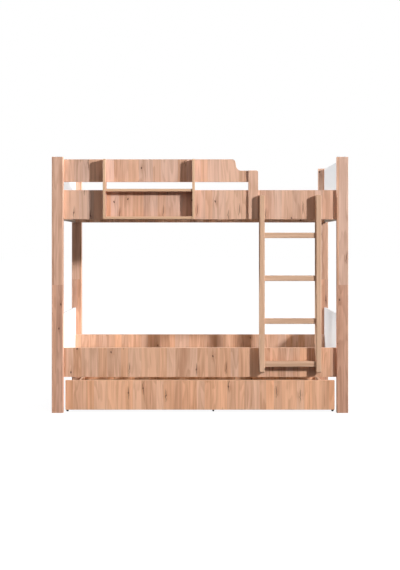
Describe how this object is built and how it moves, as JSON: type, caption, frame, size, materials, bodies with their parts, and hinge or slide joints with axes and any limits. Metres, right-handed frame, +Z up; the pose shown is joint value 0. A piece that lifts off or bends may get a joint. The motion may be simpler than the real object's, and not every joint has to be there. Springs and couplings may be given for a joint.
{
  "type": "bunk bed with trundle",
  "caption": "Two-level bunk bed of oak-look boards with white end panels, a stepped guard, an open shelf, a fixed ladder and a pull-out trundle on castors.",
  "frame": {"origin": "on the floor, under the centre of the overall outline", "axes": "+X along the bed to the ladder's end, +Y from the ladder side to the wall side, +Z up"},
  "size_m": [2.08, 1.062, 1.796],
  "materials": {
    "oak_board": "oak-look laminated board, satin",
    "white_board": "white laminated board, satin",
    "ladder_wood": "pale solid wood, satin lacquer",
    "slat_wood": "planed softwood, unfinished",
    "steel": "zinc plated",
    "wheel_black": "moulded black plastic"
  },
  "bodies": {
    "bed": {"end_panel_lower_left": "white_board", "end_panel_lower_right": "white_board", "end_panel_upper_left": "white_board", "end_panel_upper_right": "white_board", "guard_board": "oak_board", "guard_post": "oak_board", "ladder_bolts": "steel", "ladder_rung_1": "ladder_wood", "ladder_rung_2": "ladder_wood", "ladder_rung_3": "ladder_wood", "ladder_rung_4": "ladder_wood", "ladder_stile_left": "ladder_wood", "ladder_stile_right": "ladder_wood", "ledger_lower_front": "slat_wood", "ledger_lower_rear": "slat_wood", "ledger_upper_front": "slat_wood", "ledger_upper_rear": "slat_wood", "post_front_left_lower": "oak_board", "post_front_left_upper": "oak_board", "post_front_right_lower": "oak_board", "post_front_right_upper": "oak_board", "post_rear_left_lower": "oak_board", "post_rear_left_upper": "oak_board", "post_rear_right_lower": "oak_board", "post_rear_right_upper": "oak_board", "post_slot_plates": "steel", "post_tenons": "slat_wood", "rail_hook_plates": "steel", "rail_lower_front": "oak_board", "rail_lower_rear": "oak_board", "rail_upper_front": "oak_board", "rail_upper_rear": "oak_board", "shelf_bottom_board": "oak_board", "shelf_middle_board": "oak_board", "shelf_side_left": "oak_board", "shelf_side_right": "oak_board", "slats_lower": "slat_wood", "slats_upper": "slat_wood"},
    "trundle": {"castor_axles": "steel", "castor_brackets": "steel", "trundle_back": "oak_board", "trundle_front": "oak_board", "trundle_ledger_left": "slat_wood", "trundle_ledger_right": "slat_wood", "trundle_middle_board": "oak_board", "trundle_side_left": "oak_board", "trundle_side_right": "oak_board", "trundle_slats": "slat_wood"},
    "wheel_front_left_body": {"wheel_front_left": "wheel_black"},
    "wheel_front_middle_body": {"wheel_front_middle": "wheel_black"},
    "wheel_front_right_body": {"wheel_front_right": "wheel_black"},
    "wheel_rear_left_body": {"wheel_rear_left": "wheel_black"},
    "wheel_rear_middle_body": {"wheel_rear_middle": "wheel_black"},
    "wheel_rear_right_body": {"wheel_rear_right": "wheel_black"}
  },
  "joints": [
    {"name": "trundle_slide", "type": "slide", "parent": "bed", "child": "trundle", "axis": [0, -1, 0], "range_m": [0, 0.95]},
    {"name": "wheel_front_left_roll", "type": "hinge", "parent": "trundle", "child": "wheel_front_left_body", "pos_m": [-0.938, -0.413, 0.02], "axis": [1, 0, 0], "continuous": true},
    {"name": "wheel_front_middle_roll", "type": "hinge", "parent": "trundle", "child": "wheel_front_middle_body", "pos_m": [0.094, -0.413, 0.02], "axis": [1, 0, 0], "continuous": true},
    {"name": "wheel_front_right_roll", "type": "hinge", "parent": "trundle", "child": "wheel_front_right_body", "pos_m": [0.938, -0.413, 0.02], "axis": [1, 0, 0], "continuous": true},
    {"name": "wheel_rear_left_roll", "type": "hinge", "parent": "trundle", "child": "wheel_rear_left_body", "pos_m": [-0.938, 0.445, 0.02], "axis": [1, 0, 0], "continuous": true},
    {"name": "wheel_rear_middle_roll", "type": "hinge", "parent": "trundle", "child": "wheel_rear_middle_body", "pos_m": [0.094, 0.445, 0.02], "axis": [1, 0, 0], "continuous": true},
    {"name": "wheel_rear_right_roll", "type": "hinge", "parent": "trundle", "child": "wheel_rear_right_body", "pos_m": [0.938, 0.445, 0.02], "axis": [1, 0, 0], "continuous": true}
  ],
  "couplings": [
    {"joint": "wheel_front_left_roll", "follows": "trundle_slide", "rad_per_m": 50},
    {"joint": "wheel_front_middle_roll", "follows": "trundle_slide", "rad_per_m": 50},
    {"joint": "wheel_front_right_roll", "follows": "trundle_slide", "rad_per_m": 50},
    {"joint": "wheel_rear_left_roll", "follows": "trundle_slide", "rad_per_m": 50},
    {"joint": "wheel_rear_middle_roll", "follows": "trundle_slide", "rad_per_m": 50},
    {"joint": "wheel_rear_right_roll", "follows": "trundle_slide", "rad_per_m": 50}
  ]
}
